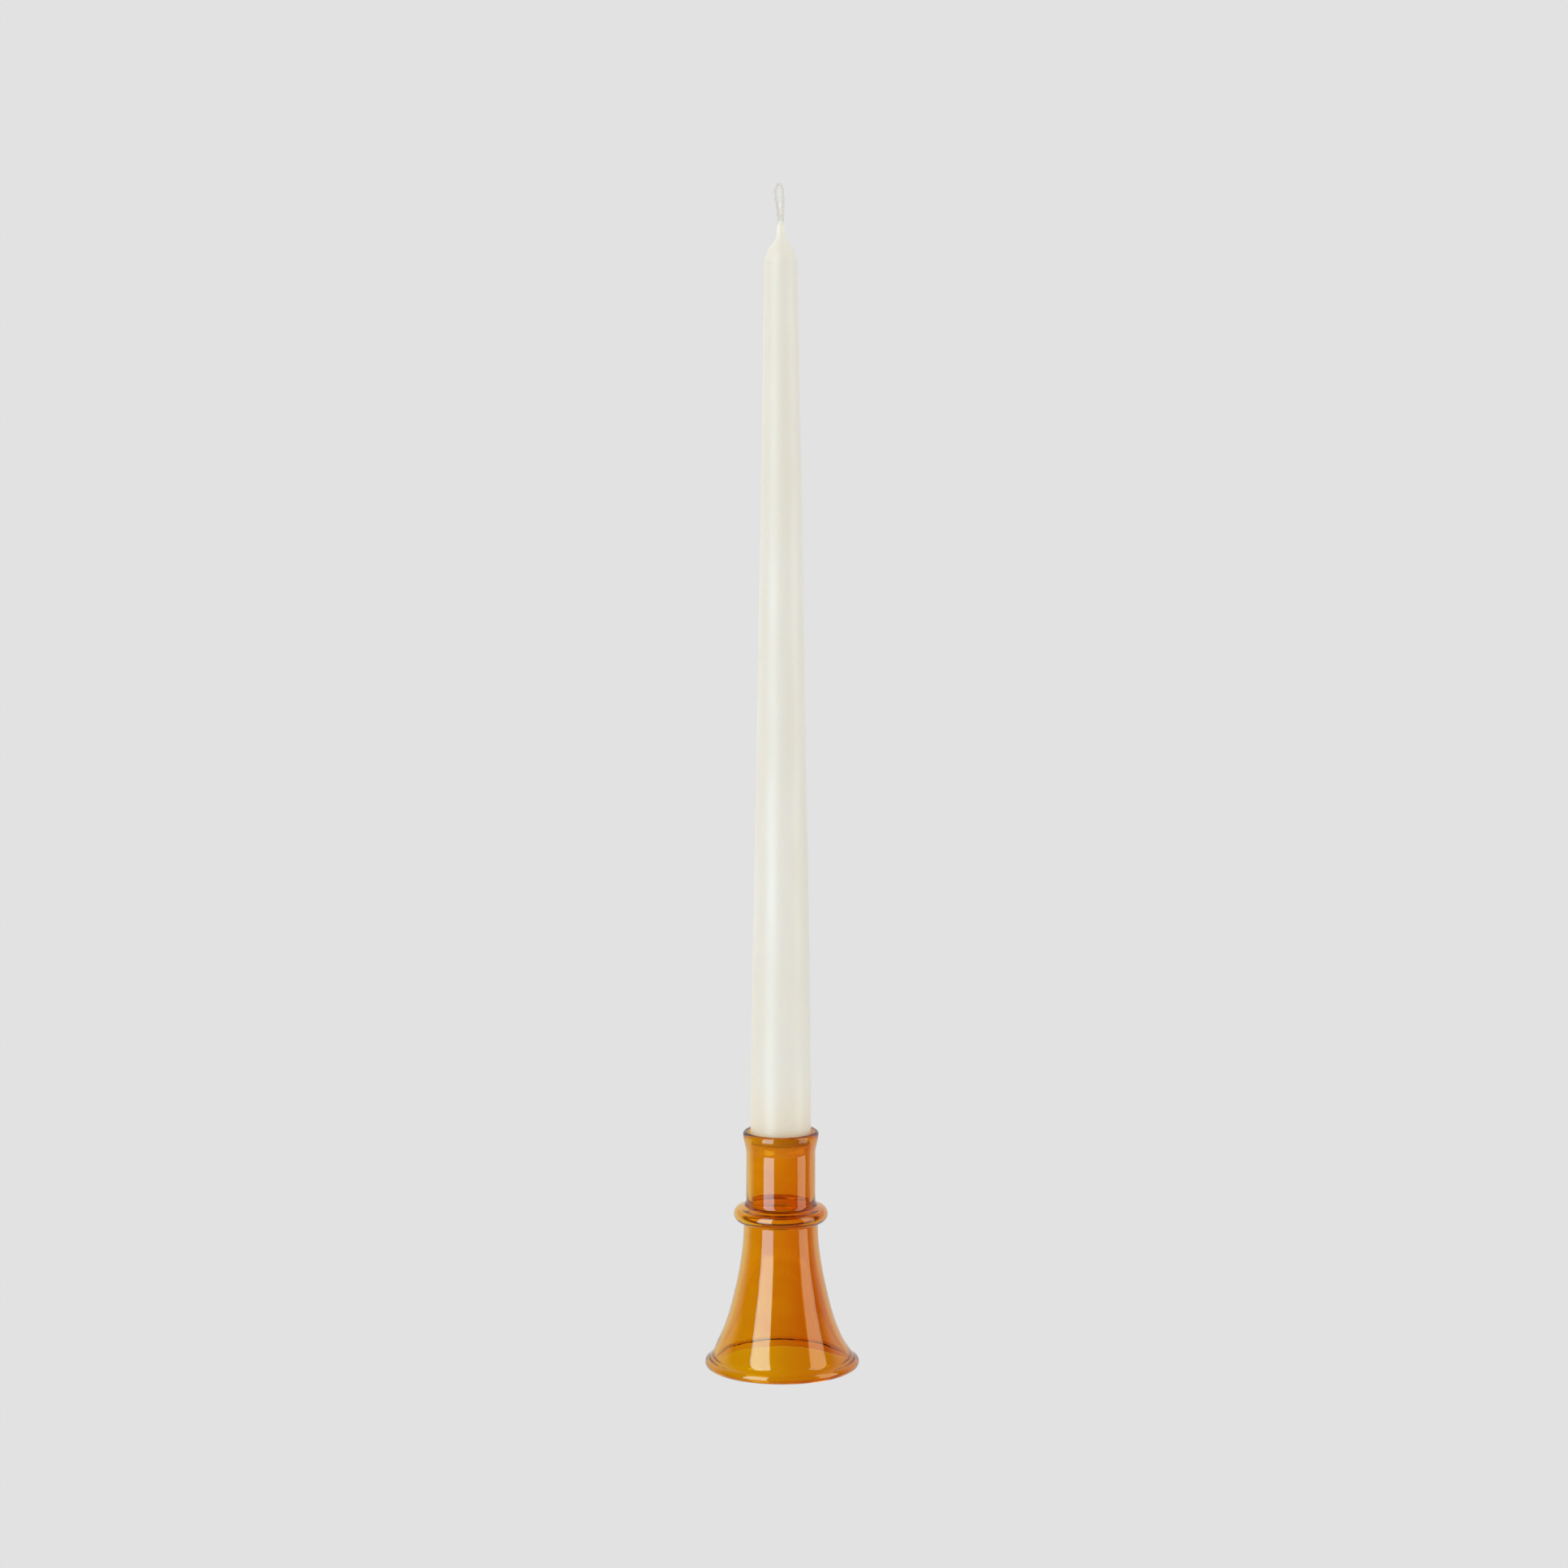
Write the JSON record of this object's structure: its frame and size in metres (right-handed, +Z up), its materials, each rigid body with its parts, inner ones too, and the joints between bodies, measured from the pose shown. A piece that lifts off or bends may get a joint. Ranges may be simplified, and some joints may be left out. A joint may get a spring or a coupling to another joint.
{
  "type": "glass candlestick",
  "caption": "Amber glass candlestick with a flared socket, bulged collar ring and open bell foot, holding a tall ivory taper candle with a looped wick.",
  "frame": {"origin": "on the axis of the holder, at the level that the foot stands on", "axes": "+Z up along the candle, X along the wick's loop (it leans to -X), Y across it; the holder is round, so X and Y differ only in the wick"},
  "size_m": [0.0576, 0.0576, 0.4402],
  "materials": {
    "amber_glass": "clear amber soda-lime glass, fire-polished",
    "ivory_wax": "hand-dipped ivory candle wax with a soft satin sheen, a little light passes through",
    "cotton_wick": "thin braided cotton cord stiffened with wax"
  },
  "bodies": {
    "holder": {"socket_tube": "amber_glass", "socket_floor": "amber_glass", "collar_ring": "amber_glass", "bell_foot": "amber_glass"},
    "candle": {"candle_wax": "ivory_wax", "wick": "cotton_wick"}
  },
  "joints": [
    {"name": "candle_lift", "type": "slide", "parent": "holder", "child": "candle", "axis": [0, 0, 1], "range_m": [0, 0.06]}
  ]
}
